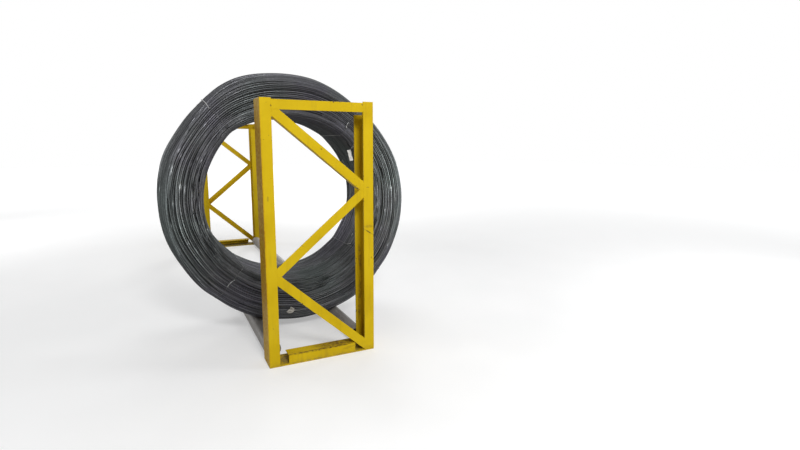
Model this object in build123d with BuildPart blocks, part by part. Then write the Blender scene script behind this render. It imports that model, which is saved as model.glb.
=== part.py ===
"""A large coil of prestressing steel wire, standing on its rim in the long yellow rack that stores it.

Millimetres, +Z up. X runs across the rack, +Y along it, away from the gate that the coil stands behind.
The origin is on the floor in the middle of the rack, and the coil's axis is above the rack's middle line.
The coil is one turned solid whose zigzag ends and rim are its turns. Wire ties go round its section.
It rests on two pipes that lie between two gates of channel posts, angle braces and an angle sill.
"""
from build123d import *
from math import cos, radians, sin, sqrt
import os

# Coil
coil_outer_radius = 985.0
coil_bore_radius = 620.0
coil_width = 600.0
coil_setback = 610.0        # from the front gate's outer face to the coil's front face
bore_edge_round = 45.0      # how the turns round off into the bore
bore_land = 1.0             # straight bit of the turns' line past that round, where the plain bore starts
rim_shoulder_round = 115.0  # how they round off into the rim
coil_turns = 20             # ridges round the section from bore to bore, each one a lay of wires
turn_groove_depth = 15.0
turn_wander = 0.22          # how unevenly the lays are spaced, as a share of one lay

# Ties
tie_wire_diameter = 2.6
tie_wire_sides = 4          # flats that stand for so thin a wire's round
tie_angles = {"tie_upper_right": 54.0, "tie_upper_left": 131.0, "tie_lower_left": 228.5, "tie_lower_right": 319.0}

# Rack
rack_length = 4460.0
gate_width = 765.0
gate_height = 1785.0
channel_depth = 180.0
channel_flange = 72.0
channel_web = 9.0
channel_flange_thickness = 10.5
channel_root_round = 9.0
post_cope = 80.0            # the inner flange stops this far below the post's top
angle_leg = 63.0
angle_thickness = 6.0
top_bar_drop = 8.0          # the top bar lies this far below the post's top
upper_node_height = 1187.0  # where the upper and middle braces meet on the right post
lower_node_height = 628.0   # where the middle and lower braces meet on the left post
node_shift = 16.0           # a brace's middle line stays this far clear of a node
foot_shift = 42.0           # and this far above the base plate at the right post's foot
sill_leg = 100.0
sill_height = 63.0
sill_thickness = 8.0
sill_left_gap = 60.0        # from the left post's flange tip to the sill's end
sill_right_gap = 75.0
base_plate_thickness = 10.0

# Pipes that carry the coil
pipe_radius = 57.0
pipe_wall = 6.0
pipe_spacing = 640.0        # between the pipes' middle lines
seat_clearance = 0.3        # between faces that touch

# Places worked out from the sizes above
reach = coil_outer_radius + seat_clearance + pipe_radius
coil_axis_height = pipe_radius + sqrt(reach**2 - (pipe_spacing / 2) ** 2)
front_face = -rack_length / 2
coil_front = front_face + coil_setback
coil_middle = coil_front + coil_width / 2
flange_tip = gate_width / 2 - channel_flange
post_bottom = base_plate_thickness
top_bar_top = gate_height - top_bar_drop
top_bar_bottom = top_bar_top - angle_leg
gates = {"front": (front_face, 1), "rear": (-front_face, -1)}

os.makedirs("parts", exist_ok=True)


def save(part, label):
    """Labels a finished piece and writes it under the same name."""
    part.label = label
    export_step(part, f"parts/{label}.step")


def coil_section_line():
    """The line that the turns follow: out of the bore, over the front face, round the rim and back."""
    land = bore_edge_round + bore_land
    corners = (
        (coil_bore_radius, coil_front + land),
        (coil_bore_radius, coil_front),
        (coil_outer_radius, coil_front),
        (coil_outer_radius, coil_front + coil_width),
        (coil_bore_radius, coil_front + coil_width),
        (coil_bore_radius, coil_front + coil_width - land),
    )
    rounds = (bore_edge_round, rim_shoulder_round, rim_shoulder_round, bore_edge_round)
    return FilletPolyline(*corners, radius=rounds, mode=Mode.PRIVATE)


def turn_points():
    """Crests on the section line, with a groove between each two, pressed in from it."""
    line = coil_section_line()
    points = [line @ 0]
    for turn in range(coil_turns):
        start = turn + turn_wander * sin(2.4 * turn) if turn else 0
        crest = (turn + 0.5 + turn_wander * sin(2.4 * (turn + 0.5))) / coil_turns
        if turn:
            along = start / coil_turns
            inward = (line % along).rotate(Axis.Z, 90)
            depth = turn_groove_depth * (0.75 + 0.25 * cos(1.7 * turn))
            points.append(line @ along + inward * depth)
        points.append(line @ crest)
    points.append(line @ 1)
    return points


# The coil: one turned solid about its own axis, which lies along Y
coil_axis = Axis((0, 0, coil_axis_height), (0, 1, 0))
with BuildPart() as coil:
    with BuildSketch(Plane.XY.offset(coil_axis_height)):
        with BuildLine():
            Polyline(*turn_points(), close=True)
        make_face()
    revolve(axis=coil_axis)
save(coil.part, "coil")


def tie(angle):
    """A closed wire loop round the coil's section, in the plane through the axis at this angle."""
    stand_off = seat_clearance + tie_wire_diameter / 2
    low = coil_bore_radius - stand_off
    high = coil_outer_radius + stand_off
    plane = Plane(
        origin=(0, coil_middle, coil_axis_height),
        x_dir=(cos(radians(angle)), 0, sin(radians(angle))),
        z_dir=(-sin(radians(angle)), 0, cos(radians(angle))),
    )
    half = coil_width / 2 + stand_off
    with BuildPart() as loop:
        with BuildLine(plane) as path:
            rounds = (bore_edge_round + stand_off, rim_shoulder_round + stand_off)
            FilletPolyline((low, 0), (low, half), (high, half), (high, 0), radius=rounds)
        with BuildSketch(Plane(origin=path.line @ 0, x_dir=plane.x_dir, z_dir=path.line % 0)):
            RegularPolygon(tie_wire_diameter / 2, tie_wire_sides)
        sweep()
        mirror(about=Plane(origin=(0, coil_middle, 0), z_dir=(0, 1, 0)))
    return loop.part


for tie_name, tie_angle in tie_angles.items():
    save(tie(tie_angle), tie_name)


def post(gate_y, inward, side):
    """A channel post with its web outside. Its inner flange is coped at the top, clear of the top bar."""
    web_x = side * gate_width / 2
    tip_x = web_x - side * channel_flange
    inner_web_x = web_x - side * channel_web
    back_y = gate_y + inward * channel_depth
    flange = inward * channel_flange_thickness
    outline = (
        (web_x, gate_y),
        (tip_x, gate_y),
        (tip_x, gate_y + flange),
        (inner_web_x, gate_y + flange),
        (inner_web_x, back_y - flange),
        (tip_x, back_y - flange),
        (tip_x, back_y),
        (web_x, back_y),
    )
    with BuildPart() as channel:
        with BuildSketch(Plane.XY.offset(post_bottom)):
            with BuildLine():
                Polyline(*outline, close=True)
            make_face()
            roots = [v for v in vertices() if abs(v.X - inner_web_x) < channel_web / 2]
            fillet(roots, channel_root_round)
        extrude(amount=gate_height - post_bottom)
        cope_middle = (inner_web_x - side * channel_flange / 2, back_y - flange / 2)
        with BuildSketch(Plane.XY.offset(gate_height - post_cope)):
            with Locations(cope_middle):
                Rectangle(channel_flange, 3 * channel_flange_thickness)
        extrude(amount=post_cope, mode=Mode.SUBTRACT)
    return channel.part


def angle_bar(gate_y, inward, leg_line, back_line):
    """An angle in the gate's outer face: one leg flat in that face, the other pointing into the rack."""
    face = Plane(origin=(0, gate_y, 0), x_dir=(1, 0, 0), z_dir=(0, -1, 0))
    with BuildPart() as bar:
        for corners, depth in ((leg_line, angle_thickness), (back_line, angle_leg)):
            with BuildSketch(face):
                with BuildLine():
                    Polyline(*corners, close=True)
                make_face()
            extrude(amount=-inward * depth)
    return bar.part


def top_bar(gate_y, inward):
    """The bar between the posts' outer flanges, with its level leg at the top."""
    def band(bottom, top):
        return ((-flange_tip, bottom), (flange_tip, bottom), (flange_tip, top), (-flange_tip, top))

    return angle_bar(gate_y, inward, band(top_bar_bottom, top_bar_top),
                     band(top_bar_top - angle_thickness, top_bar_top))


def brace(gate_y, inward, start, end, floor, ceiling):
    """An angle brace across the gate, mitred level at its bay's floor and ceiling. Its back leg is below."""
    (x1, z1), (x2, z2) = start, end
    run, rise = x2 - x1, z2 - z1
    per_mm = sqrt(run**2 + rise**2) / abs(run)
    bay = (2 * flange_tip, ceiling - floor)
    face = Plane(origin=(0, gate_y, 0), x_dir=(1, 0, 0), z_dir=(0, -1, 0))
    half = angle_leg / 2 * per_mm
    bands = ((-half, half, angle_thickness), (-half, -half + angle_thickness * per_mm, angle_leg))
    with BuildPart() as bar:
        for low, high, depth in bands:
            with BuildSketch(face):
                with BuildLine():
                    Polyline((x1, z1 + low), (x2, z2 + low), (x2, z2 + high), (x1, z1 + high), close=True)
                make_face()
                with Locations((0, (floor + ceiling) / 2)):
                    Rectangle(*bay, mode=Mode.INTERSECT)
            extrude(amount=-inward * depth)
    return bar.part


def sill(gate_y, inward):
    """The unequal angle on the base plate. It stops short of both posts."""
    left = -flange_tip + sill_left_gap
    right = flange_tip - sill_right_gap
    top = base_plate_thickness + sill_height
    with BuildPart() as bar:
        with BuildSketch(Plane.YZ.offset(left)):
            with BuildLine():
                Polyline(
                    (gate_y, base_plate_thickness),
                    (gate_y + inward * sill_thickness, base_plate_thickness),
                    (gate_y + inward * sill_thickness, top - sill_thickness),
                    (gate_y + inward * sill_leg, top - sill_thickness),
                    (gate_y + inward * sill_leg, top),
                    (gate_y, top),
                    close=True,
                )
            make_face()
        extrude(amount=right - left)
    return bar.part


def base_plate(gate_y, inward):
    """The flat plate under both posts and the sill."""
    with BuildPart() as plate:
        with BuildSketch():
            with Locations((0, gate_y + inward * channel_depth / 2)):
                Rectangle(gate_width, channel_depth)
        extrude(amount=base_plate_thickness)
    return plate.part


# The two gates
brace_ends = {
    "upper": ((-flange_tip, top_bar_bottom), (flange_tip, upper_node_height + node_shift),
              upper_node_height, top_bar_bottom),
    "middle": ((flange_tip, upper_node_height - node_shift), (-flange_tip, lower_node_height + node_shift),
               lower_node_height, upper_node_height),
    "lower": ((-flange_tip, lower_node_height - node_shift), (flange_tip, post_bottom + foot_shift),
              post_bottom, lower_node_height),
}
for gate_name, (gate_face, gate_inward) in gates.items():
    save(post(gate_face, gate_inward, -1), f"{gate_name}_left_post")
    save(post(gate_face, gate_inward, 1), f"{gate_name}_right_post")
    save(top_bar(gate_face, gate_inward), f"{gate_name}_top_bar")
    save(sill(gate_face, gate_inward), f"{gate_name}_sill")
    save(base_plate(gate_face, gate_inward), f"{gate_name}_base_plate")
    for brace_name, brace_line in brace_ends.items():
        save(brace(gate_face, gate_inward, *brace_line), f"{gate_name}_{brace_name}_brace")

# The pipes, from post to post, on the floor
pipe_length = rack_length - 2 * (channel_depth + seat_clearance)
pipe_places = {"left": -pipe_spacing / 2, "right": pipe_spacing / 2}
for pipe_name, pipe_x in pipe_places.items():
    with BuildPart() as pipe:
        with BuildSketch(Plane(origin=(pipe_x, -pipe_length / 2, pipe_radius), z_dir=(0, 1, 0))):
            Circle(pipe_radius)
            Circle(pipe_radius - pipe_wall, mode=Mode.SUBTRACT)
        extrude(amount=pipe_length)
    save(pipe.part, f"{pipe_name}_pipe")
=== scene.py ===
"""A large coil of loose-wound steel wire on its rim, in a long yellow rack with a braced gate at each end."""
import math

import bpy
import numpy as np
from mathutils import Matrix, Vector


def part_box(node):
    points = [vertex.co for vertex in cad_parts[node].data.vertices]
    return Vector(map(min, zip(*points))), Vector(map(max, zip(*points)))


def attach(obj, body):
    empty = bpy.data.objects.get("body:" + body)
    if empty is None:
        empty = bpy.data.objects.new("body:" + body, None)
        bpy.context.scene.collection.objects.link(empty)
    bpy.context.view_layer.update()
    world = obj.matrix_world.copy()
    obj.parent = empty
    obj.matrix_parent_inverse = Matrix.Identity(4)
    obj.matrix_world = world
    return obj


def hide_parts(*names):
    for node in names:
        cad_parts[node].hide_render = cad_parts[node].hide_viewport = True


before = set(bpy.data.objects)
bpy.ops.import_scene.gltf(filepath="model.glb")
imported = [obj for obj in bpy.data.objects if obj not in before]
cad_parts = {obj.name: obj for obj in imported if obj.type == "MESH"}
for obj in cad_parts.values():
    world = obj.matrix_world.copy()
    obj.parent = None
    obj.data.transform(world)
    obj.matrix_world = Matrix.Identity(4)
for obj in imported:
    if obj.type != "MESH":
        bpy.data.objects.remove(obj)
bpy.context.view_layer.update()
TAU = 2 * math.pi

# Where the coil is, as the CAD has it: its outer radius and its bore's, and how its edges are rounded
coil_low, coil_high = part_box("coil")
OUTER = (coil_high.x - coil_low.x) / 2
AXIS_Z = coil_low.z + OUTER
MIDDLE_Y = (coil_low.y + coil_high.y) / 2
HALF_WIDTH = (coil_high.y - coil_low.y) / 2
BORE = 0.62
BORE_ROUND = 0.045
SHOULDER_ROUND = 0.115
# The flat of a face lies between two radii, and the bore's wall and the rim are flat over these half widths
FACE_FROM = BORE + BORE_ROUND
FACE_TO = OUTER - SHOULDER_ROUND
BORE_HALF = HALF_WIDTH - BORE_ROUND
RIM_HALF = HALF_WIDTH - SHOULDER_ROUND
LINE_POINTS = 80            # of the section's table along each flat
ARC_POINTS = 60             # and along each round

# The wire and how it lies
WIRE_RADIUS = 0.0054
WIRE_PITCH = 0.0155         # between the middles of a bundle's wires, which lie loosely
BUNDLED_WIRES = 286
BUNDLE_LEAST = 3
BUNDLE_MOST = 8
BUNDLE_DRIFT = 0.011        # how far a bundle strays across the section where it lies freely
WIRE_DRIFT = 0.0013         # and a wire in its bundle
CROSSING_WIRES = 26         # single turns that cross over the bundles
CROSSING_DRIFT = 0.034
UNDER_PITCH = 0.0119        # between the middles of the under layer's wires
UNDER_DRIFT = 0.0012
UNDER_SAG = 0.002
UNDER_DEPTH = 0.0275        # of the middles of the under layer's wires below the CAD surface
CORE_DEPTH = 0.0065         # of the dark inside below those middles
SKIN = 0.0006               # kept free under the CAD surface
STEPS = 180                 # round the coil
CORE_STEPS = 120            # round the section
BIN = 0.0011                # of the height map that the turns are laid on

# The ties, each two strands round the section that end in a twisted tail
TIE_ANGLES = {"tie_upper_right": 54, "tie_upper_left": 131, "tie_lower_left": 228.5, "tie_lower_right": 319}
TIE_RADIUS = 0.0014
TIE_PULL = 0.006            # how far a tie draws the turns in
TIE_TWIST = 0.034           # the length of one full twist of the strands, about
TIE_STEPS = 460
TAIL_RADIUS = 0.0019
TAIL_TWIST = 0.013
TAIL_STEPS = 60

# The paper tag and the scrap of paper
PAPER_THICKNESS = 0.0006
PAPER_ROWS = 18
PAPER_COLUMNS = 12

# How far the loose outer turns stand off the true circle, in mm at an angle in degrees
OUT_OF_ROUND = ((0, -25), (20, -34), (32, -47), (45, -53), (59, -52), (68, -35), (80, -12), (90, -4),
                (99, 6), (107, 22), (114, 32), (122, 28), (132, 10), (140, -2), (148, -5), (158, 6),
                (166, 3), (180, -2), (195, -6), (208, -21), (222, -16), (232, -20), (242, -14), (252, -2),
                (262, -7), (272, -1), (288, 0), (297, 8), (306, 8), (319, -6), (335, -18), (348, -21))
# The same for the bore, which is widest at the upper left, where a tie draws the turns together
BORE_OUT_OF_ROUND = ((0, 0), (30, 10), (60, 24), (90, 32), (112, 52), (131, 84), (150, 72), (170, 64),
                     (190, 58), (205, 40), (225, 20), (250, 5), (270, 0), (315, 0))


# Meshes
def new_mesh_object(name, vertices, quads, tones=None):
    """A smooth object from arrays of vertices and four-cornered faces, with each vertex's tone if given."""
    vertices = np.asarray(vertices, dtype=np.float32).reshape(-1, 3)
    quads = np.asarray(quads, dtype=np.int32).reshape(-1, 4)
    mesh = bpy.data.meshes.new(name)
    mesh.vertices.add(len(vertices))
    mesh.vertices.foreach_set("co", vertices.ravel())
    mesh.loops.add(quads.size)
    mesh.loops.foreach_set("vertex_index", quads.ravel())
    mesh.polygons.add(len(quads))
    mesh.polygons.foreach_set("loop_start", np.arange(0, quads.size, 4, dtype=np.int32))
    mesh.polygons.foreach_set("use_smooth", np.ones(len(quads), dtype=bool))
    mesh.update(calc_edges=True)
    if tones is not None:
        layer = mesh.attributes.new("tone", "FLOAT", "POINT")
        layer.data.foreach_set("value", np.asarray(tones, dtype=np.float32).ravel())
    obj = bpy.data.objects.new(name, mesh)
    bpy.context.scene.collection.objects.link(obj)
    return obj


def grid_quads(rows, columns, close_rows, close_columns):
    """Faces of a grid of rows x columns vertices, closed round either way where asked."""
    row = np.arange(rows if close_rows else rows - 1)[:, None]
    column = np.arange(columns if close_columns else columns - 1)[None, :]
    next_row = (row + 1) % rows
    next_column = (column + 1) % columns
    corners = (row * columns + column, row * columns + next_column,
               next_row * columns + next_column, next_row * columns + column)
    return np.stack(corners, axis=-1).reshape(-1, 4)


def joined(parts):
    """Vertices and faces of several meshes as one."""
    vertices, quads, count = [], [], 0
    for points, faces in parts:
        vertices.append(points.reshape(-1, 3))
        quads.append(faces + count)
        count += len(vertices[-1])
    return np.concatenate(vertices), np.concatenate(quads)


def tube(points, radius, sides, closed=False):
    """A round tube along a line of points, a closed ring or with ends that are drawn in to a small point."""
    points = np.asarray(points, dtype=float)
    if closed:
        along = np.roll(points, -1, axis=0) - np.roll(points, 1, axis=0)
    else:
        along = np.gradient(points, axis=0)
    along /= np.linalg.norm(along, axis=1)[:, None]
    across = np.zeros_like(points)
    start = np.cross(along[0], (0.31, 0.52, 0.79))
    across[0] = start / np.linalg.norm(start)
    for place in range(1, len(points)):
        carried = across[place - 1] - along[place] * np.dot(across[place - 1], along[place])
        across[place] = carried / np.linalg.norm(carried)
    third = np.cross(along, across)
    radii = np.full(len(points), float(radius))
    if closed:
        # what the sides have turned by on the way round is shared out along the ring
        slip = math.atan2(float(np.dot(across[-1], third[0])), float(np.dot(across[-1], across[0])))
        share = (np.arange(len(points)) / len(points) * -slip)[:, None]
        across, third = (across * np.cos(share) + third * np.sin(share),
                         third * np.cos(share) - across * np.sin(share))
    else:
        points = np.concatenate([points[:1], points, points[-1:]])
        across = np.concatenate([across[:1], across, across[-1:]])
        third = np.concatenate([third[:1], third, third[-1:]])
        radii = np.concatenate([[radius * 0.02], radii, [radius * 0.02]])
    around = np.linspace(0, TAU, sides, endpoint=False)[None, :, None]
    ring = across[:, None] * np.cos(around) + third[:, None] * np.sin(around)
    vertices = points[:, None] + ring * radii[:, None, None]
    return vertices, grid_quads(len(points), sides, closed, True)[:, ::-1]


# The coil's section
def section_table():
    """The section from the middle of the bore over the front face, the rim and the back to where it began.

    Gives the way along it, the radius, the place across the width, and the outward normal's two parts.
    """
    points, normals = [], []

    def line(start, end, normal):
        for share in np.linspace(0, 1, LINE_POINTS, endpoint=False):
            points.append((start[0] + (end[0] - start[0]) * share, start[1] + (end[1] - start[1]) * share))
            normals.append(normal)

    def arc(centre, radius, first):
        for turned in np.linspace(0, 90, ARC_POINTS, endpoint=False):
            angle = math.radians(first + turned)
            points.append((centre[0] + radius * math.cos(angle), centre[1] + radius * math.sin(angle)))
            normals.append((math.cos(angle), math.sin(angle)))

    line((BORE, 0), (BORE, -BORE_HALF), (-1, 0))
    arc((FACE_FROM, -BORE_HALF), BORE_ROUND, 180)
    line((FACE_FROM, -HALF_WIDTH), (FACE_TO, -HALF_WIDTH), (0, -1))
    arc((FACE_TO, -RIM_HALF), SHOULDER_ROUND, 270)
    line((OUTER, -RIM_HALF), (OUTER, RIM_HALF), (1, 0))
    arc((FACE_TO, RIM_HALF), SHOULDER_ROUND, 0)
    line((FACE_TO, HALF_WIDTH), (FACE_FROM, HALF_WIDTH), (0, 1))
    arc((FACE_FROM, BORE_HALF), BORE_ROUND, 90)
    line((BORE, BORE_HALF), (BORE, 0), (-1, 0))
    points.append(points[0])
    normals.append(normals[0])
    points, normals = np.array(points), np.array(normals)
    along = np.concatenate([[0], np.cumsum(np.hypot(*np.diff(points, axis=0).T))])
    return along, points[:, 0], points[:, 1], normals[:, 0], normals[:, 1]


SECTION = section_table()
PERIMETER = SECTION[0][-1]
BINS = int(round(PERIMETER / BIN))
THETA = np.linspace(0, TAU, STEPS, endpoint=False)


def face_s(radius):
    """The place round the section at this radius on the front face or its shoulder."""
    start = BORE_HALF + BORE_ROUND * math.pi / 2
    if radius <= FACE_TO:
        return start + radius - FACE_FROM
    rise = min((radius - FACE_TO) / SHOULDER_ROUND, 1)
    return start + FACE_TO - FACE_FROM + SHOULDER_ROUND * math.asin(rise)


def near_angle(theta, degrees, width):
    """1 at an angle, falling smoothly to 0 over a width in degrees on each side."""
    away = np.angle(np.exp(1j * (theta - math.radians(degrees))))
    return np.exp(-((away / math.radians(width)) ** 2))


def pinch(theta, width):
    """How hard the ties draw the turns together at an angle."""
    return np.clip(sum(near_angle(theta, degrees, width) for degrees in TIE_ANGLES.values()), 0, 1)


def looseness(theta):
    """How freely the turns lie: most on the left of the coil, least at the ties."""
    left = 0.7 * near_angle(theta, 178, 40)
    right = 0.45 * near_angle(theta, 0, 34)
    bottom = 0.4 * near_angle(theta, 285, 30)
    return (0.45 + left + right + bottom) * (1 - 0.55 * pinch(theta, 9))


def smoothed(values, reach, width):
    """A closed row of values, each averaged with its neighbours within reach by a bell curve."""
    offsets = np.arange(-reach, reach + 1)
    weights = np.exp(-((offsets / width) ** 2))
    return sum(weight * np.roll(values, offset) for offset, weight in zip(offsets, weights)) / weights.sum()


def spanned(values, reach):
    """The highest value within reach on each side, all along a closed row."""
    return np.max([np.roll(values, offset) for offset in range(-reach, reach + 1)], axis=0)


def off_round(theta, table):
    """The distance of the turns from the true circle at an angle, smoothed from a table."""
    fine = np.radians(np.arange(0, 360, 1.0))
    angles, offsets = np.array(table).T
    rough = np.interp(np.degrees(fine), np.append(angles, 360), np.append(offsets, offsets[0])) / 1000
    smooth = smoothed(rough, 8, 3.5)
    return np.interp(np.mod(theta, TAU), np.append(fine, TAU), np.append(smooth, smooth[0]))


def on_coil(s, depth, theta, aside=0.0):
    """Places on the coil: at s round the section and theta round the coil, this deep and this far aside."""
    s, depth, theta = np.broadcast_arrays(np.mod(s, PERIMETER), depth, theta)
    r, y, normal_r, normal_y = (np.interp(s, SECTION[0], column) for column in SECTION[1:])
    deep = depth + TIE_PULL * pinch(theta, 5)
    r = r - normal_r * deep
    y = y - normal_y * deep
    share = np.clip((r - BORE) / (OUTER - BORE), 0, 1)
    r = r + share**1.3 * off_round(theta, OUT_OF_ROUND) + (1 - share) * off_round(theta, BORE_OUT_OF_ROUND)
    x = r * np.cos(theta) - aside * np.sin(theta)
    z = AXIS_Z + r * np.sin(theta) + aside * np.cos(theta)
    return np.stack([x, MIDDLE_Y + y, z], axis=-1)


def wander(rng, count, theta, low, high, size, fall=1.0):
    """Smooth closed curves round the coil, each a sum of waves, with about this root mean square.

    The number of waves goes from low to high, and a wave is the weaker the more of them go round.
    """
    total = np.zeros((count, theta.size))
    power = 0
    for wave in range(low, high + 1):
        height = rng.normal(0, 1, (count, 1))
        start = rng.uniform(0, TAU, (count, 1))
        total += height * np.cos(wave * theta + start) / wave**fall
        power += 0.5 / wave ** (2 * fall)
    return total * size / math.sqrt(power)


# Laying the turns
class Winding:
    """Turns laid on one another: keeps how high the next turn would lie at each place round the section."""

    def __init__(self):
        self.ground = np.full((BINS, STEPS), -1.0)
        self.columns = np.arange(STEPS)
        self.ceiling = UNDER_DEPTH - WIRE_RADIUS - SKIN

    def rows(self, s):
        """The rows of the height map at these places round the section."""
        return np.rint(s / BIN).astype(int) % BINS

    def add(self, s, height):
        """Raises the ground by a turn along s at this height."""
        place = self.rows(s)
        reach = int(2 * WIRE_RADIUS / BIN)
        for off in range(-reach, reach + 1):
            rows = (place + off) % BINS
            rise = height + math.sqrt((2 * WIRE_RADIUS) ** 2 - (off * BIN) ** 2)
            self.ground[rows, self.columns] = np.maximum(self.ground[rows, self.columns], rise)

    def lay(self, s, stiff=2):
        """Lays one turn on what is there. It spans the hollows, because it is stiff."""
        height = spanned(self.ground[self.rows(s), self.columns], stiff)
        # and it has no sharp bends
        for _ in range(3):
            height = (np.roll(height, 1) + 2 * height + np.roll(height, -1)) / 4
        height = np.clip(height, 0, self.ceiling)
        self.add(s, height)
        return height


rng = np.random.default_rng(1907)
winding = Winding()

# The under layer fills every place, so that no gap between the turns above goes through
under_count = int(PERIMETER / UNDER_PITCH)
under_s = np.arange(under_count)[:, None] / under_count * PERIMETER
under_s = under_s + wander(rng, under_count, THETA, 1, 5, UNDER_DRIFT)
for s in under_s:
    winding.add(s, np.zeros(STEPS))
under_height = -np.abs(wander(rng, under_count, THETA, 1, 6, UNDER_SAG))

# Bundles of turns side by side, each bundle drifting as one
sizes = []
while sum(sizes) < BUNDLED_WIRES:
    sizes.append(int(rng.integers(BUNDLE_LEAST, BUNDLE_MOST + 1)))
sizes[-1] -= sum(sizes) - BUNDLED_WIRES
order = rng.permutation(len(sizes))
centres = (order + rng.uniform(0.1, 0.9, len(sizes))) / len(sizes) * PERIMETER
free = looseness(THETA)
turn_s, turn_height, turn_tone_and_light = [], [], []
for centre, size in zip(centres, sizes):
    drift = wander(rng, 1, THETA, 1, 4, BUNDLE_DRIFT)[0] * free
    spread = 1 + np.clip(wander(rng, 1, THETA, 1, 5, 0.14)[0], -0.04, 0.4) * free
    shade = rng.normal(0, 0.2)
    for wire in range(size):
        own_way = wander(rng, 1, THETA, 2, 9, WIRE_DRIFT)[0] * free
        s = centre + (wire - (size - 1) / 2) * WIRE_PITCH * spread + drift + own_way
        turn_s.append(s)
        turn_height.append(winding.lay(s))
        # light and dark wires alternate, and some are darker still
        own_tone = rng.normal(0.05, 0.3) + 0.34 * (-1) ** wire - (0.8 if rng.random() < 0.25 else 0)
        turn_tone_and_light.append(shade + own_tone)
# Single turns that cross over the bundles
for _ in range(CROSSING_WIRES):
    s = rng.uniform(0, PERIMETER) + wander(rng, 1, THETA, 1, 4, CROSSING_DRIFT)[0] * free
    turn_s.append(s)
    turn_height.append(winding.lay(s, 3))
    turn_tone_and_light.append(rng.normal(0.4, 0.5))
turn_s = np.array(turn_s)
turn_height = np.array(turn_height)

# How light each turn is at each place round the coil
turn_tone_and_light = np.array(turn_tone_and_light)[:, None] + wander(rng, len(turn_s), THETA, 8, 44, 0.2, 0.2)
# They differ most where light rakes along them, at the two sides and low on the left
turn_tone_and_light = turn_tone_and_light * (0.6 + 0.65 * near_angle(THETA, 190, 50) + 0.45 * near_angle(THETA, 0, 42))
# Painted glints: short places on the turns are painted bright as highlights, most of them where the turns
# stand upright at the coil's two sides
glint_share = 0.009 * (0.3 + near_angle(THETA, 180, 38) + 0.6 * near_angle(THETA, 0, 38))
painted_glint = rng.random(turn_tone_and_light.shape) < glint_share
turn_tone_and_light = turn_tone_and_light + painted_glint * rng.uniform(1.2, 2.6, turn_tone_and_light.shape)
# Painted light and shade: the coil's two sides are painted lighter than its top and bottom, and its lower
# left is painted darkest, as shade
turn_tone_and_light = turn_tone_and_light + 0.6 * (near_angle(THETA, 180, 34) + near_angle(THETA, 0, 36)) - 0.46
turn_tone_and_light = turn_tone_and_light - 0.3 * near_angle(THETA, 222, 24)


def ring_tubes(name, s, height, theta, sides, tones):
    """Closed rings of wire. s, height and tones are arrays of wires x steps."""
    around = np.linspace(0, TAU, sides, endpoint=False)
    lift = (WIRE_RADIUS * np.cos(around))[None, None, :, None]
    slide = (WIRE_RADIUS * np.sin(around))[None, None, :, None]
    middles = on_coil(s[:, :, None], UNDER_DEPTH - height[:, :, None], theta[None, :, None])
    # each ring of the tube lies in a plane through the coil's axis
    out = np.stack([np.cos(theta), 0 * theta, np.sin(theta)], axis=-1)[None, :, None, :]
    across = np.array([0.0, 1.0, 0.0])
    vertices = middles + out * lift + across * slide
    wires, steps = s.shape
    base = grid_quads(steps, sides, True, True)
    quads = base[None] + (np.arange(wires) * steps * sides)[:, None, None]
    tone = np.broadcast_to(tones[:, :, None], vertices.shape[:3])
    return new_mesh_object(name, vertices, quads, tone)


# The turns, in one piece for each side of the section, parted half-way round its rounded edges
turn_middle = np.mod(turn_s.mean(axis=1), PERIMETER)
bore_end = BORE_HALF + BORE_ROUND * math.pi / 4
face_end = bore_end + BORE_ROUND * math.pi / 4 + (FACE_TO - FACE_FROM) + SHOULDER_ROUND * math.pi / 4
BORDERS = (0, bore_end, face_end, PERIMETER / 2, PERIMETER - face_end, PERIMETER - bore_end, PERIMETER)
SIDES_OF_COIL = ("bore_front", "front", "rim_front", "rim_back", "back", "bore_back")
turn_pieces = []
for side, low, high in zip(SIDES_OF_COIL, BORDERS, BORDERS[1:]):
    chosen = (turn_middle >= low) & (turn_middle < high)
    turn_pieces.append(ring_tubes(f"coil_{side}_turns", turn_s[chosen], turn_height[chosen], THETA, 6,
                                  turn_tone_and_light[chosen]))
# The under layer is painted dark, as the shade between the turns, and least so at the coil's top, where light
# from above reaches it
under_painted_shade = rng.normal(-1.7, 0.3, (under_count, 1)) + 0.9 * near_angle(THETA[::2], 92, 42)
turn_pieces.append(ring_tubes("coil_under_turns", under_s[:, ::2], under_height[:, ::2], THETA[::2], 4,
                              under_painted_shade))

# The winding's inside, painted near black as shade, which shows between the turns
core_s = np.linspace(0, PERIMETER, CORE_STEPS, endpoint=False)
core = new_mesh_object("coil_core", on_coil(core_s[None, :], UNDER_DEPTH + CORE_DEPTH, THETA[:, None]),
                       grid_quads(STEPS, CORE_STEPS, True, True)[:, ::-1])


# Ties, wire ends and paper
def top_of_turns(degrees):
    """How high the turns stand at an angle, round the section, with the hollows spanned as by a taut wire."""
    column = int(round(degrees / 360 * STEPS)) % STEPS
    return smoothed(spanned(winding.ground[:, column] - WIRE_RADIUS, 12), 10, 5)


def twisted(s, degrees, lift, radius, twist, closed, slant=0.0, bend=0.0):
    """Two strands twisted together that lie on the turns, as tubes."""
    top = np.interp(np.mod(s, PERIMETER), np.arange(BINS) * BIN, top_of_turns(degrees))
    along = s - s[0]
    parts = []
    for turned in (0, math.pi):
        phase = along / twist * TAU + turned
        height = top + lift + radius * (1 + np.cos(phase))
        if closed:
            height = np.minimum(height, UNDER_DEPTH + 2 * radius)
        aside = radius * np.sin(phase) + slant * along
        places = on_coil(s, UNDER_DEPTH - height, np.radians(degrees + bend), aside)
        parts.append(tube(places, radius, 5, closed))
    return parts


def vertex_count(parts):
    """How many vertices these tubes have together."""
    return sum(vertices.size // 3 for vertices, quads in parts)


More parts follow.
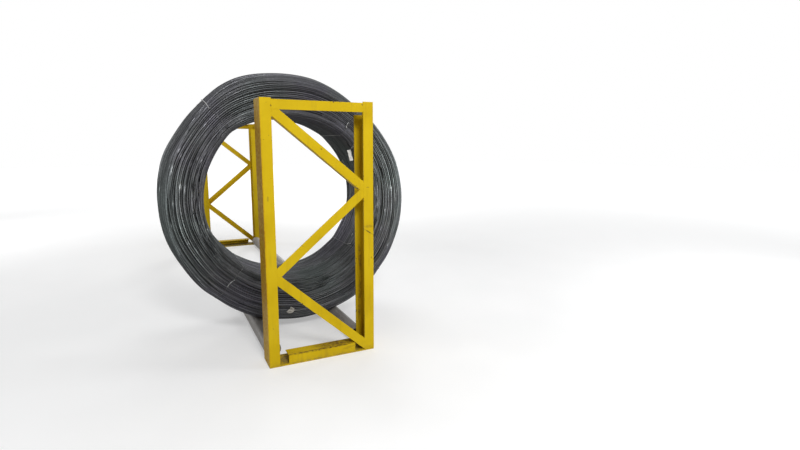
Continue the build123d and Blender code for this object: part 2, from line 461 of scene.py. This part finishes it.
# Where each tie's tail starts and ends round the section, and how it slants
TAILS = {
    "tie_upper_right": (face_s(0.70), face_s(0.765), 0.10),
    "tie_upper_left": (face_s(0.90), face_s(0.982), -0.06),
    "tie_lower_left": (face_s(0.75), face_s(0.83), -0.12),
    "tie_lower_right": (0.14, 0.21, 0.15),
}
loop_s = np.arange(TIE_STEPS) / TIE_STEPS * PERIMETER
loop_twist = PERIMETER / int(PERIMETER / TIE_TWIST)
share = np.linspace(0, 1, TAIL_STEPS)
tie_pieces = {}
for name, degrees in TIE_ANGLES.items():
    loop = twisted(loop_s, degrees, -0.0004, TIE_RADIUS, loop_twist, True)
    first, last, slant = TAILS[name]
    tail_s = first + (last - first) * share
    tail_lift = 0.0022 + 0.011 * share**3
    bend = 0.35 + 0.5 * np.sin(2.6 * share) * np.sign(slant)
    tail = twisted(tail_s, degrees, tail_lift, TAIL_RADIUS, TAIL_TWIST, False, slant, bend)
    vertices, quads = joined(loop + tail)
    # the loop is painted dark as shade in its groove, and the tail bright as lit
    bright = np.repeat((0.0, 1.0), (vertex_count(loop), vertex_count(tail)))
    tie_pieces[name] = new_mesh_object(name + "_wire", vertices, quads, bright)

# The coil's inner wire end springs up off the bore's wall near the back
inner_degrees = np.linspace(238, 272.5, 70)
inner_s = PERIMETER - 0.215 - 0.03 * np.linspace(0, 1, 70)
inner = on_coil(inner_s, WIRE_RADIUS + SKIN, np.radians(inner_degrees))
lift_off = np.clip((inner_degrees - 262) / 10.5, 0, 1) ** 2
inner[:, 2] += 0.024 * lift_off
inner[:, 1] -= 0.010 * lift_off
# Its outer wire end lies on the rim
outer_s = face_s(0.985) + 0.10 + 0.05 * np.linspace(0, 1, 80)
outer = on_coil(outer_s, WIRE_RADIUS + 0.0001, np.radians(np.linspace(352, 395, 80)))
vertices, quads = joined([tube(inner, WIRE_RADIUS, 8), tube(outer, WIRE_RADIUS, 8)])
# both wire ends get one light tone, a painted glint
wire_ends = new_mesh_object("coil_wire_ends", vertices, quads, np.full(len(vertices), 0.9))


def sheet_of_paper(corner, down, across, curl, fold, crumple=0.0, taper=0.0):
    """A piece of stiff paper as a closed curled plate, from its top corner.

    Its top is folded over, and it may be crumpled, and narrower at the top than at the bottom.
    """
    corner, down, across = Vector(corner), Vector(down), Vector(across)
    normal = across.cross(down).normalized()
    front = np.zeros((PAPER_ROWS, PAPER_COLUMNS, 3))
    for row in range(PAPER_ROWS):
        down_share = row / (PAPER_ROWS - 1)
        for column in range(PAPER_COLUMNS):
            side_share = column / (PAPER_COLUMNS - 1)
            bend = curl * math.sin(down_share * math.pi * 0.9) + 0.5 * curl * (2 * side_share - 1) ** 2
            bend += fold * max(0, 0.22 - down_share) * 2.5
            ripple = 0.0016 * math.sin(5 * side_share + 7 * down_share)
            creases = math.sin(9 * side_share - 4 * down_share) * math.cos(11 * down_share + 3 * side_share)
            ripple += crumple * creases
            pull = across * (1.8 * crumple / across.length * math.sin(8 * down_share))
            pull += down * (crumple / down.length * math.sin(7 * side_share))
            wide = across * (0.5 + (side_share - 0.5) * (1 + taper * (2 * down_share - 1)))
            front[row, column] = corner + down * down_share + wide + pull + normal * (bend + ripple)
    back = front - np.array(normal) * PAPER_THICKNESS
    count = PAPER_ROWS * PAPER_COLUMNS
    faces = grid_quads(PAPER_ROWS, PAPER_COLUMNS, False, False)
    # the rim goes down the left edge, along the bottom, up the right edge and back along the top
    index = np.arange(count).reshape(PAPER_ROWS, PAPER_COLUMNS)
    rim = np.concatenate([index[:, 0], index[-1, 1:], index[-2::-1, -1], index[0, -2:0:-1]])
    next_rim = np.roll(rim, -1)
    walls = np.stack([rim, next_rim, next_rim + count, rim + count], axis=-1)
    quads = np.concatenate([faces, faces[:, ::-1] + count, walls])
    return np.concatenate([front.reshape(-1, 3), back.reshape(-1, 3)]), quads


# A blank paper tag hangs on a thin wire from the bore's front edge
TAG_ANGLE = math.radians(41.5)
TAG_EDGE = face_s(0.668)
tag_top = on_coil(TAG_EDGE - 0.035, 0.0, TAG_ANGLE)
vertices, quads = sheet_of_paper(tag_top + (-0.053, 0.004, -0.028), down=(0.022, 0.010, -0.088),
                                 across=(0.036, 0.018, 0.006), curl=0.006, fold=0.02)
tag_piece = new_mesh_object("coil_tag", vertices, quads)

# A crumpled scrap of paper is caught low on the face
SCRAP_PLACE = face_s(0.880)
scrap_depth = UNDER_DEPTH - top_of_turns(263)[int(SCRAP_PLACE / BIN)] - 0.008
scrap_at = on_coil(SCRAP_PLACE, scrap_depth, math.radians(262.6))
vertices, quads = sheet_of_paper(scrap_at + (0, -0.002, 0.014), down=(0.016, 0.004, -0.036),
                                 across=(0.056, -0.008, 0.010), curl=0.004, fold=0.02, crumple=0.0062,
                                 taper=0.75)
scrap_piece = new_mesh_object("coil_paper_scrap", vertices, quads)

# The tag's wire comes out of the winding and bends down to the tag
hook_root = on_coil(TAG_EDGE - 0.033, UNDER_DEPTH, TAG_ANGLE)
hook = tag_top + np.array([(0, 0, 0), (-0.012, 0.001, 0.003), (-0.024, 0.004, -0.010),
                           (-0.031, 0.008, -0.030)])
vertices, quads = tube(np.concatenate([[hook_root], hook]), TIE_RADIUS, 6)
hook_piece = new_mesh_object("coil_tag_wire", vertices, quads, np.full(vertices.size // 3, 0.7))


# Materials
def feed(tree, node, inputs):
    """Links or sets a node's inputs, given by name or number. A colour has no alpha here."""
    for key, value in inputs.items():
        socket = node.inputs[key]
        if isinstance(value, bpy.types.NodeSocket):
            tree.links.new(value, socket)
        elif socket.type == "RGBA":
            socket.default_value = (*value, 1)
        else:
            socket.default_value = value


def add(tree, kind, inputs=None, **properties):
    """A new node with its properties set and its inputs fed."""
    node = tree.nodes.new("ShaderNode" + kind)
    for name, value in properties.items():
        setattr(node, name, value)
    feed(tree, node, inputs or {})
    return node


def material(name):
    """A new material, its node tree and the one shader in it."""
    made = bpy.data.materials.new(name)
    made.use_nodes = True
    tree = made.node_tree
    tree.nodes.clear()
    shader = add(tree, "BsdfPrincipled")
    add(tree, "OutputMaterial", {"Surface": shader.outputs["BSDF"]})
    return made, tree, shader


def own_place(tree):
    """The object's own coordinates, in metres."""
    return add(tree, "TexCoord").outputs["Object"]


def noise(tree, scale, detail=4.0, roughness=0.55, stretch=(1, 1, 1), offset=(0, 0, 0)):
    """Noise in the object's own coordinates, stretched and moved where asked."""
    mapped = add(tree, "Mapping", {"Vector": own_place(tree), "Scale": stretch, "Location": offset})
    texture = add(tree, "TexNoise", {"Vector": mapped.outputs["Vector"], "Scale": scale, "Detail": detail,
                                     "Roughness": roughness})
    return texture.outputs["Fac"]


def ramp(tree, value, stops):
    """A colour ramp over a value, from (place, colour) stops."""
    node = add(tree, "ValToRGB", {"Fac": value})
    elements = node.color_ramp.elements
    while len(elements) < len(stops):
        elements.new(0.5)
    for element, (place, colour) in zip(elements, stops):
        element.position = place
        element.color = (*colour, 1)
    return node.outputs["Color"]


def grey(value):
    """A grey this light."""
    return (value, value, value)


def map_range(tree, value, low, high, to_low, to_high):
    """A value brought from one range to another, and held within it."""
    node = add(tree, "MapRange", {"Value": value, "From Min": low, "From Max": high, "To Min": to_low,
                                  "To Max": to_high})
    return node.outputs["Result"]


def mix(tree, factor, first, second, blend="MIX"):
    """A mix of two colours."""
    node = add(tree, "Mix", data_type="RGBA", blend_type=blend)
    # a mix node has more sockets of the same names, for other kinds of data
    factor_socket, first_socket, second_socket, result_socket = 0, 6, 7, 2
    feed(tree, node, {factor_socket: factor, first_socket: first, second_socket: second})
    return node.outputs[result_socket]


def math_node(tree, operation, first, second=0.0):
    """A sum, product or the like of two values."""
    return add(tree, "Math", {0: first, 1: second}, operation=operation).outputs["Value"]


def bump(tree, shader, height, strength, distance):
    """Makes a shader's surface stand in relief."""
    node = add(tree, "Bump", {"Strength": strength, "Distance": distance, "Height": height})
    feed(tree, shader, {"Normal": node.outputs["Normal"]})


def blot(tree, centre, size, lean):
    """1 inside an ellipsoid at a place, falling to 0 round its edge. It leans in X-Z by some degrees."""
    edge = 0.35
    shifted = add(tree, "VectorMath", {0: own_place(tree), 1: centre}, operation="SUBTRACT")
    turned = add(tree, "VectorRotate", {"Vector": shifted.outputs["Vector"], "Angle": math.radians(lean)},
                 rotation_type="Y_AXIS")
    scaled = add(tree, "VectorMath", {0: turned.outputs["Vector"], 1: size}, operation="DIVIDE")
    length = add(tree, "VectorMath", {0: scaled.outputs["Vector"]}, operation="LENGTH")
    return map_range(tree, length.outputs["Value"], 1 - edge, 1 + edge, 1.0, 0.0)


def wire_material():
    """Dark steel wire, lighter or darker by each vertex's tone, which also holds painted glints and painted
    light and shade.
    """
    made, tree, shader = material("wire_steel")
    tone = add(tree, "Attribute", attribute_name="tone").outputs["Fac"]
    patches = noise(tree, 1.7, detail=3, offset=(3.1, 0.4, 7.7))
    streak = noise(tree, 60, detail=2)
    fine = noise(tree, 150, detail=3, offset=(5.5, 1.2, 0.7))
    shade = math_node(tree, "ADD", map_range(tree, tone, -2.0, 3.0, 0.0, 1.0),
                      map_range(tree, streak, 0.3, 0.7, -0.05, 0.05))
    dark_to_light = ramp(tree, shade, ((0.0, (0.026, 0.027, 0.028)), (0.35, (0.080, 0.082, 0.086)),
                                       (0.6, (0.170, 0.174, 0.182)), (0.78, (0.36, 0.37, 0.39)),
                                       (1.0, (0.75, 0.76, 0.79))))
    tint = ramp(tree, patches, ((0.36, (0.90, 1.0, 0.94)), (0.52, grey(1.0)), (0.66, (1.0, 0.95, 1.08))))
    colour = mix(tree, 1.0, dark_to_light, tint, "MULTIPLY")
    dull = ramp(tree, fine, ((0.52, grey(0.0)), (0.75, grey(0.25))))
    colour = mix(tree, dull, colour, (0.062, 0.056, 0.052))
    feed(tree, shader, {"Base Color": colour, "Metallic": 0.6, "Specular Tint": (0.35, 0.35, 0.36),
                        "Specular IOR Level": 0.25,
                        "Roughness": map_range(tree, tone, -1.0, 2.5, 0.50, 0.24)})
    bump(tree, shader, noise(tree, 45, detail=2, offset=(0.3, 9.2, 4.4)), 0.2, 0.0012)
    return made


def core_shade_material():
    """Painted shade: the winding's inside is painted near black, as the shade between the turns."""
    made, tree, shader = material("coil_inside_shade")
    colour = ramp(tree, noise(tree, 40, detail=3), ((0.35, grey(0.004)), (0.7, grey(0.016))))
    feed(tree, shader, {"Base Color": colour, "Metallic": 0.3, "Roughness": 0.7})
    return made


BROWN = (0.15, 0.085, 0.022)
DARK = (0.055, 0.040, 0.020)
WEB_SHADE_ORANGE = (0.45, 0.205, 0.006)
RUST = (0.085, 0.040, 0.018)
DUST = (0.115, 0.11, 0.10)
# Scrapes and smears, and one painted shade: centre, half sizes, lean in degrees, strength and colour
SMEARS = (
    ((0.347, -2.23, 0.884), (0.046, 0.02, 0.0038), -34, 0.85, DARK),
    ((0.347, -2.23, 0.925), (0.040, 0.02, 0.010), 0, 0.35, BROWN),
    ((0.345, -2.05, 0.66), (0.012, 0.04, 0.10), 4, 0.7, BROWN),
    ((0.340, -2.05, 0.34), (0.014, 0.04, 0.17), -3, 0.55, BROWN),
    ((0.10, -2.17, 0.075), (0.15, 0.05, 0.010), 0, 0.85, BROWN),
    ((-0.03, -2.228, 0.0745), (0.23, 0.012, 0.009), 0, 0.95, RUST),
    ((-0.03, 2.228, 0.0745), (0.23, 0.012, 0.009), 0, 0.95, RUST),
    # painted shade: the left post's outer web is painted darker orange, as it lies in shade
    ((-0.384, -2.12, 0.95), (0.010, 0.15, 1.10), 0, 0.95, WEB_SHADE_ORANGE),
    ((0.19, -2.23, 0.05), (0.05, 0.02, 0.010), 8, 0.3, BROWN),
    ((-0.352, -2.23, 1.15), (0.006, 0.02, 0.016), 0, 0.5, BROWN),
    ((0.0, -2.13, 0.011), (0.36, 0.098, 0.0045), 0, 0.9, DUST),
    ((0.0, 2.13, 0.011), (0.36, 0.098, 0.0045), 0, 0.9, DUST),
)


def stained(tree, colour, height, fine):
    """This colour with thin orange-brown runs down the bars, dirt near the floor, and the smears, one of them
    painted shade on the left post's outer web.
    """
    runs = noise(tree, 9, stretch=(3.0, 3.0, 0.35), offset=(4.0, 0.0, 2.0))
    grime = ramp(tree, runs, ((0.55, grey(0.0)), (0.78, grey(0.38))))
    colour = mix(tree, grime, colour, (0.33, 0.20, 0.016))
    low = map_range(tree, height, 0.0, 0.045, 0.4, 0.0)
    low = math_node(tree, "MULTIPLY", low, map_range(tree, fine, 0.35, 0.65, 0.15, 1.0))
    colour = mix(tree, low, colour, (0.17, 0.115, 0.040))
    for centre, size, lean, strength, stain in SMEARS:
        mask = math_node(tree, "MULTIPLY", blot(tree, centre, size, lean),
                         map_range(tree, fine, 0.38, 0.56, 0.25, 1.0))
        colour = mix(tree, math_node(tree, "MULTIPLY", mask, strength), colour, stain)
    return colour


def chip_mask(tree, across):
    """1 where the paint is chipped off, in most places along the tips of the posts' flanges, and else 0."""
    chips = noise(tree, 34, detail=6, roughness=0.62, offset=(2.6, 6.1, 9.2))
    where = noise(tree, 5.5, detail=2, offset=(0.9, 8.1, 3.3))
    chipped = math_node(tree, "ADD", chips, map_range(tree, where, 0.35, 0.75, -0.09, 0.07))
    flange_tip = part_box("front_right_post")[0].x
    from_tip = math_node(tree, "SUBTRACT", math_node(tree, "ABSOLUTE", across), flange_tip)
    from_tip = math_node(tree, "ABSOLUTE", from_tip)
    chipped = math_node(tree, "ADD", chipped, map_range(tree, from_tip, 0.0, 0.008, 0.062, 0.0))
    return ramp(tree, chipped, ((0.690, grey(0.0)), (0.702, grey(1.0))))


def paint_material():
    """Yellow paint with stains and a painted shade on one web, chipped down to rusty steel."""
    made, tree, shader = material("rack_yellow_paint")
    place = add(tree, "SeparateXYZ", {"Vector": own_place(tree)}).outputs
    broad = noise(tree, 3.2, detail=5)
    fine = noise(tree, 55, offset=(1.7, 5.2, 0.3))
    colour = ramp(tree, broad, ((0.30, (0.555, 0.372, 0.006)), (0.5, (0.620, 0.425, 0.007)),
                                (0.72, (0.665, 0.470, 0.011))))
    colour = stained(tree, colour, place["Z"], fine)
    chip = chip_mask(tree, place["X"])
    rust = ramp(tree, fine, ((0.35, (0.055, 0.030, 0.018)), (0.65, (0.16, 0.075, 0.030))))
    colour = mix(tree, chip, colour, rust)
    rough = mix(tree, chip, ramp(tree, fine, ((0.3, grey(0.42)), (0.7, grey(0.58)))), grey(0.85))
    feed(tree, shader, {"Base Color": colour, "Specular IOR Level": 0.08, "Roughness": rough})
    orange_peel = ramp(tree, noise(tree, 120, detail=3), ((0.3, grey(0.72)), (0.7, grey(0.85))))
    bump(tree, shader, mix(tree, chip, orange_peel, grey(0.0)), 0.35, 0.0012)
    return made


def pipe_material():
    """Dull dusty steel with brown spots, rubbed bright in places."""
    made, tree, shader = material("pipe_steel")
    broad = noise(tree, 5, detail=5, stretch=(1, 0.4, 1))
    colour = ramp(tree, broad, ((0.30, (0.150, 0.135, 0.122)), (0.52, (0.25, 0.235, 0.22)),
                                (0.75, (0.37, 0.345, 0.325))))
    spots = noise(tree, 40, detail=5, roughness=0.65)
    spots = ramp(tree, spots, ((0.58, grey(0.0)), (0.70, grey(0.6))))
    colour = mix(tree, spots, colour, (0.130, 0.085, 0.058))
    scuffs = noise(tree, 14, stretch=(3, 0.5, 3), offset=(2, 0, 5))
    scuffs = ramp(tree, scuffs, ((0.5, grey(0.0)), (0.7, grey(0.5))))
    colour = mix(tree, scuffs, colour, (0.47, 0.455, 0.44))
    feed(tree, shader, {"Base Color": colour, "Metallic": 0.2,
                        "Roughness": map_range(tree, broad, 0.3, 0.7, 0.48, 0.72)})
    bump(tree, shader, noise(tree, 90), 0.25, 0.001)
    return made


def tie_material():
    """Soft tie wire, painted dark round the coil as shade in the groove it draws, and painted bright at its
    twisted tail as lit.
    """
    made, tree, shader = material("tie_wire")
    bright = add(tree, "Attribute", attribute_name="tone").outputs["Fac"]
    patches = noise(tree, 60, detail=3)
    colour = mix(tree, bright, ramp(tree, patches, ((0.35, grey(0.05)), (0.65, grey(0.14)))),
                 ramp(tree, patches, ((0.35, grey(0.24)), (0.65, grey(0.52)))))
    feed(tree, shader, {"Base Color": colour, "Metallic": 0.8, "Roughness": 0.38})
    return made


def paper_material(name, dark, light):
    """Blank paper, mottled from dark to light."""
    made, tree, shader = material(name)
    colour = ramp(tree, noise(tree, 25), ((0.3, dark), (0.7, light)))
    feed(tree, shader, {"Base Color": colour, "Roughness": 0.75})
    bump(tree, shader, noise(tree, 18, detail=3), 0.3, 0.002)
    return made


WIRE = wire_material()
CORE_SHADE = core_shade_material()
PAINT = paint_material()
PIPE = pipe_material()
TIE = tie_material()
PAPER = paper_material("tag_paper", (0.70, 0.69, 0.66), (0.84, 0.83, 0.80))
OLD_PAPER = paper_material("dusty_paper", (0.24, 0.23, 0.21), (0.46, 0.44, 0.40))


# Dressing the frame
def dress(obj, mat, node_slot, *nodes):
    """Gives a new piece its material and its body, and hides the CAD nodes that it stands for. The slot is
    not used.
    """
    obj.data.materials.append(mat)
    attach(obj, "root")
    if nodes:
        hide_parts(*nodes)


for piece in turn_pieces:
    dress(piece, WIRE, "wire", "coil")
dress(core, CORE_SHADE, "wire", "coil")
dress(wire_ends, WIRE, "wire", "coil")
for name, piece in tie_pieces.items():
    dress(piece, TIE, "tie_wire", name)
dress(hook_piece, TIE, "tie_wire")
for piece, paper in ((tag_piece, PAPER), (scrap_piece, OLD_PAPER)):
    piece.data.materials.append(paper)
    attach(piece, "root")

EDGE_ROUND = 0.0016
EDGE_ANGLE = math.radians(40)
WELD_GAP = 0.00002
for node_name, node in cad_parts.items():
    if node_name == "coil" or node_name in TIE_ANGLES:
        continue
    painted = not node_name.endswith("_pipe")
    for slot in node.material_slots:
        slot.material = PAINT if painted else PIPE
    weld = node.modifiers.new("weld", "WELD")
    weld.merge_threshold = WELD_GAP
    if painted:
        # rolled edges: the corners of the bars are slightly rounded
        edge = node.modifiers.new("edge", "BEVEL")
        edge.width = EDGE_ROUND
        edge.segments = 2
        edge.limit_method = "ANGLE"
        edge.angle_limit = EDGE_ANGLE
        edge.loop_slide = False


# Stage, light and camera
def area_light(name, place, target, size, power):
    """A white rectangular light at a place, turned to a target. Its power is in watts."""
    data = bpy.data.lights.new(name, "AREA")
    data.shape = "RECTANGLE"
    data.size, data.size_y = size
    data.energy = power
    light = bpy.data.objects.new(name, data)
    bpy.context.scene.collection.objects.link(light)
    light.location = place
    light.rotation_euler = (Vector(target) - Vector(place)).to_track_quat("-Z", "Y").to_euler()


def shown_ray(tree):
    """1 for a ray that shows the studio, by way of mirrors and glass too, and 0 for one that only lights."""
    rays = add(tree, "LightPath").outputs
    direct = math_node(tree, "MAXIMUM", rays["Is Camera Ray"], rays["Is Glossy Ray"])
    return math_node(tree, "MAXIMUM", direct, rays["Is Transmission Ray"])


area_light("key", (-0.4, -7.0, 4.4), (0, -1.0, 1.0), (1.3, 1.3), 215)
area_light("side", (5.5, -4.5, 1.9), (0, -1.0, 1.0), (2.0, 3.2), 140)
area_light("top", (0.8, 0.5, 6.5), (0, -0.5, 1.0), (3.0, 3.0), 75)
area_light("back", (-4.8, 5.0, 3.0), (0, 0, 1.2), (2.0, 3.0), 90)
area_light("rear", (3.6, 8.0, 3.6), (0, 1.5, 0.9), (2.0, 2.0), 170)

world = bpy.data.worlds.new("studio")
bpy.context.scene.world = world
world.use_nodes = True
tree = world.node_tree
tree.nodes.clear()
shown = add(tree, "Background", {"Color": (1, 1, 1), "Strength": 1.0})
ambient = add(tree, "Background", {"Color": (0.96, 0.98, 1.0), "Strength": 0.25})
blend = add(tree, "MixShader", {0: shown_ray(tree), 1: ambient.outputs["Background"],
                                2: shown.outputs["Background"]})
add(tree, "OutputWorld", {"Surface": blend.outputs["Shader"]})

FLOOR_HALF = 30
floor_corners = [(-FLOOR_HALF, -FLOOR_HALF, 0), (FLOOR_HALF, -FLOOR_HALF, 0), (FLOOR_HALF, FLOOR_HALF, 0),
                 (-FLOOR_HALF, FLOOR_HALF, 0)]
floor_mesh = bpy.data.meshes.new("floor")
floor_mesh.from_pydata(floor_corners, [], [(0, 1, 2, 3)])
floor = bpy.data.objects.new("floor", floor_mesh)
bpy.context.scene.collection.objects.link(floor)
floor_material, tree, shader = material("studio_floor")
# The floor shows paler than it lights the object, and the paler the farther it is from the rack
from_rack = add(tree, "VectorMath", {0: own_place(tree)}, operation="LENGTH").outputs["Value"]
paling = map_range(tree, from_rack, 3.0, 14.0, 0.36, 1.0)
floor_colour = ramp(tree, noise(tree, 2, detail=2), ((0.3, grey(0.62)), (0.7, grey(0.65))))
feed(tree, shader, {"Base Color": floor_colour, "Roughness": 0.8, "Emission Color": (1, 1, 1),
                    "Emission Strength": math_node(tree, "MULTIPLY", shown_ray(tree), paling)})
floor_mesh.materials.append(floor_material)

# The camera stands where the photograph was taken from
CAMERA_PLACE = Vector((-0.9956, -5.3985, 1.5))
CAMERA_PITCH = 0.16309
CAMERA_YAW = 0.46529
CAMERA_ROLL = 0.00468
FOCAL_PIXELS = 490.15
PICTURE_PIXELS = 800
SENSOR_WIDTH = 36
ahead = Vector((math.sin(CAMERA_YAW) * math.cos(CAMERA_PITCH),
                math.cos(CAMERA_YAW) * math.cos(CAMERA_PITCH), -math.sin(CAMERA_PITCH)))
level = Vector((math.cos(CAMERA_YAW), -math.sin(CAMERA_YAW), 0))
upward = level.cross(ahead)
right = level * math.cos(CAMERA_ROLL) + upward * math.sin(CAMERA_ROLL)
up = upward * math.cos(CAMERA_ROLL) - level * math.sin(CAMERA_ROLL)
camera_data = bpy.data.cameras.new("camera")
camera_data.sensor_width = SENSOR_WIDTH
camera_data.lens = FOCAL_PIXELS / PICTURE_PIXELS * SENSOR_WIDTH
camera_data.clip_end = 200
camera = bpy.data.objects.new("camera", camera_data)
bpy.context.scene.collection.objects.link(camera)
turn = Matrix((right, up, -ahead)).transposed().to_4x4()
camera.matrix_world = Matrix.Translation(CAMERA_PLACE) @ turn
bpy.context.scene.camera = camera
bpy.context.scene.view_settings.view_transform = "Standard"
